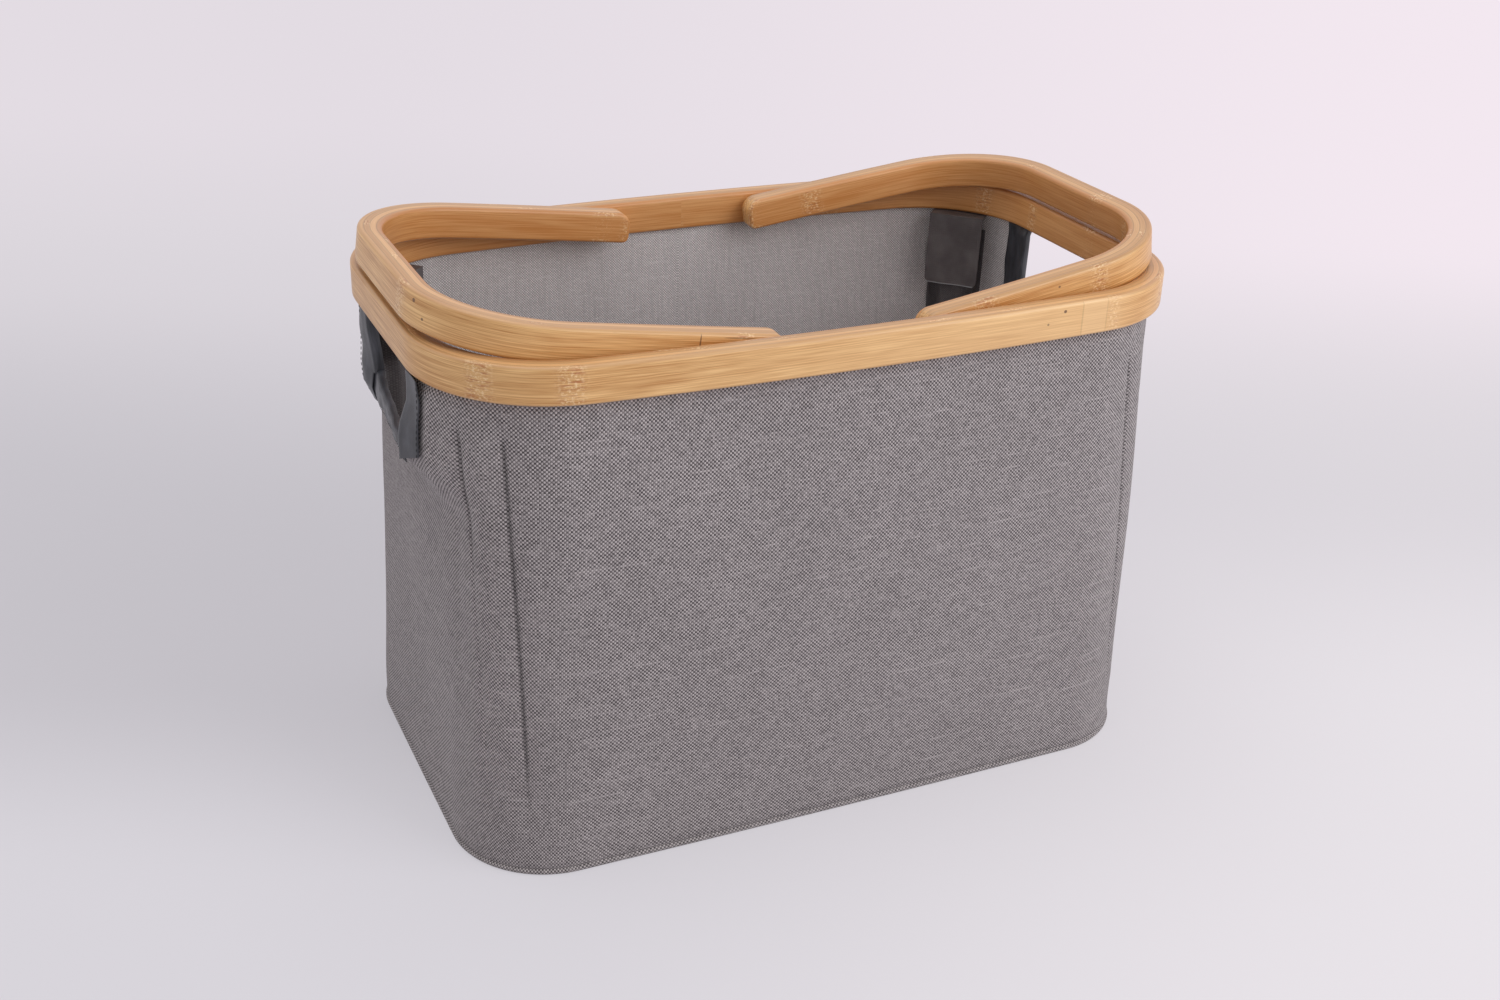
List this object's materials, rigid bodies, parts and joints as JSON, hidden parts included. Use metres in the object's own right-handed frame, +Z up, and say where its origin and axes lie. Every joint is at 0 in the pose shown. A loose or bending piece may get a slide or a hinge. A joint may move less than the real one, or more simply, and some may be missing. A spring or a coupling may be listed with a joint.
{
  "type": "collapsible laundry basket",
  "caption": "Soft-sided collapsible basket with a bent bamboo rim, swinging bamboo bail handles, hand holes in the end walls and removable corner rods.",
  "frame": {"origin": "middle of the underside, under the centre of the box round the whole basket with its handles at rest", "axes": "+X along the basket's length, -Y towards the front, +Z up"},
  "size_m": [0.44, 0.266, 0.3154],
  "materials": {
    "bamboo": "bent laminated strip, clear satin varnish",
    "grey_weave": "matt plain weave with slubs",
    "coated_weave": "plain weave with a thin waterproof coat, semi-gloss",
    "sleeve_cloth": "dark woven cloth of the rod pockets",
    "dark_tape": "woven binding tape, slightly shiny",
    "hook_tape": "hook side of hook-and-loop tape",
    "loop_tape": "loop side of hook-and-loop tape",
    "board": "raw fibreboard",
    "rod_metal": "drawn tube",
    "cap_plastic": "moulded end cap",
    "pin_steel": "plain pin",
    "washer_nylon": "natural nylon"
  },
  "bodies": {
    "base": {"bottom_panel": "grey_weave", "base_board": "board", "floor_lining": "coated_weave", "outer_shell": "grey_weave", "lining": "coated_weave", "hand_hole_binding_left": "dark_tape", "hand_hole_binding_right": "dark_tape", "rod_sleeve_front_left": "sleeve_cloth", "rod_sleeve_front_right": "sleeve_cloth", "rod_sleeve_back_left": "sleeve_cloth", "rod_sleeve_back_right": "sleeve_cloth", "loop_patch_front_left": "loop_tape", "loop_patch_front_right": "loop_tape", "loop_patch_back_left": "loop_tape", "loop_patch_back_right": "loop_tape"},
    "rim": {"rim_ring": "bamboo", "hem_tape": "dark_tape", "pivot_pin_front_left": "pin_steel", "pivot_pin_front_right": "pin_steel", "pivot_pin_back_left": "pin_steel", "pivot_pin_back_right": "pin_steel", "pivot_washer_front_left": "washer_nylon", "pivot_washer_front_right": "washer_nylon", "pivot_washer_back_left": "washer_nylon", "pivot_washer_back_right": "washer_nylon", "flap_header_front_left": "hook_tape", "flap_header_front_right": "hook_tape", "flap_header_back_left": "hook_tape", "flap_header_back_right": "hook_tape"},
    "left_handle": {"left_handle": "bamboo"},
    "right_handle": {"right_handle": "bamboo"},
    "rod_front_left": {"support_rod_front_left": "rod_metal", "rod_foot_cap_front_left": "cap_plastic", "rod_head_cap_front_left": "cap_plastic"},
    "rod_front_right": {"support_rod_front_right": "rod_metal", "rod_foot_cap_front_right": "cap_plastic", "rod_head_cap_front_right": "cap_plastic"},
    "rod_back_left": {"support_rod_back_left": "rod_metal", "rod_foot_cap_back_left": "cap_plastic", "rod_head_cap_back_left": "cap_plastic"},
    "rod_back_right": {"support_rod_back_right": "rod_metal", "rod_foot_cap_back_right": "cap_plastic", "rod_head_cap_back_right": "cap_plastic"},
    "flap_front_left": {"flap_front_left": "hook_tape"},
    "flap_front_right": {"flap_front_right": "hook_tape"},
    "flap_back_left": {"flap_back_left": "hook_tape"},
    "flap_back_right": {"flap_back_right": "hook_tape"}
  },
  "joints": [
    {"name": "collapse", "type": "slide", "parent": "base", "child": "rim", "axis": [0, 0, 1], "range_m": [-0.215, 0], "deforming": ["outer_shell", "lining", "hand_hole_binding_left", "hand_hole_binding_right", "rod_sleeve_front_left", "rod_sleeve_front_right", "rod_sleeve_back_left", "rod_sleeve_back_right", "loop_patch_front_left", "loop_patch_front_right", "loop_patch_back_left", "loop_patch_back_right", "flap_header_front_left", "flap_header_front_right", "flap_header_back_left", "flap_header_back_right", "flap_front_left", "flap_front_right", "flap_back_left", "flap_back_right"]},
    {"name": "left_handle_swing", "type": "hinge", "parent": "rim", "child": "left_handle", "pos_m": [-0.049, 0, 0.283], "axis": [0, 1, 0], "range_deg": [0, 95]},
    {"name": "right_handle_swing", "type": "hinge", "parent": "rim", "child": "right_handle", "pos_m": [0.049, 0, 0.283], "axis": [0, -1, 0], "range_deg": [0, 95]},
    {"name": "rod_front_left_fold", "type": "hinge", "parent": "base", "child": "rod_front_left", "pos_m": [-0.18727, -0.10257, 0.0106], "axis": [-0.0436, 0.999, 0], "range_deg": [0, 90.1]},
    {"name": "rod_front_right_fold", "type": "hinge", "parent": "base", "child": "rod_front_right", "pos_m": [0.18727, -0.10257, 0.0106], "axis": [-0.225, -0.9744, 0], "range_deg": [0, 90.1]},
    {"name": "rod_back_left_fold", "type": "hinge", "parent": "base", "child": "rod_back_left", "pos_m": [-0.18727, 0.10257, 0.0106], "axis": [0.225, 0.9744, 0], "range_deg": [0, 90.1]},
    {"name": "rod_back_right_fold", "type": "hinge", "parent": "base", "child": "rod_back_right", "pos_m": [0.18727, 0.10257, 0.0106], "axis": [0.0436, -0.999, 0], "range_deg": [0, 90.1]},
    {"name": "flap_front_left_swing", "type": "hinge", "parent": "rim", "child": "flap_front_left", "pos_m": [-0.18201, -0.0907, 0.2727], "axis": [0.7071, -0.7071, 0], "range_deg": [0, 110]},
    {"name": "flap_front_right_swing", "type": "hinge", "parent": "rim", "child": "flap_front_right", "pos_m": [0.18201, -0.0907, 0.2727], "axis": [0.7071, 0.7071, 0], "range_deg": [0, 110]},
    {"name": "flap_back_left_swing", "type": "hinge", "parent": "rim", "child": "flap_back_left", "pos_m": [-0.18201, 0.0907, 0.2727], "axis": [-0.7071, -0.7071, 0], "range_deg": [0, 110]},
    {"name": "flap_back_right_swing", "type": "hinge", "parent": "rim", "child": "flap_back_right", "pos_m": [0.18201, 0.0907, 0.2727], "axis": [-0.7071, 0.7071, 0], "range_deg": [0, 110]}
  ],
  "couplings": [
    {"joint": "rod_front_left_fold", "follows": "collapse", "rad_per_m": -7.3095},
    {"joint": "rod_front_right_fold", "follows": "collapse", "rad_per_m": -7.2895},
    {"joint": "rod_back_left_fold", "follows": "collapse", "rad_per_m": -7.2895},
    {"joint": "rod_back_right_fold", "follows": "collapse", "rad_per_m": -7.3095}
  ]
}
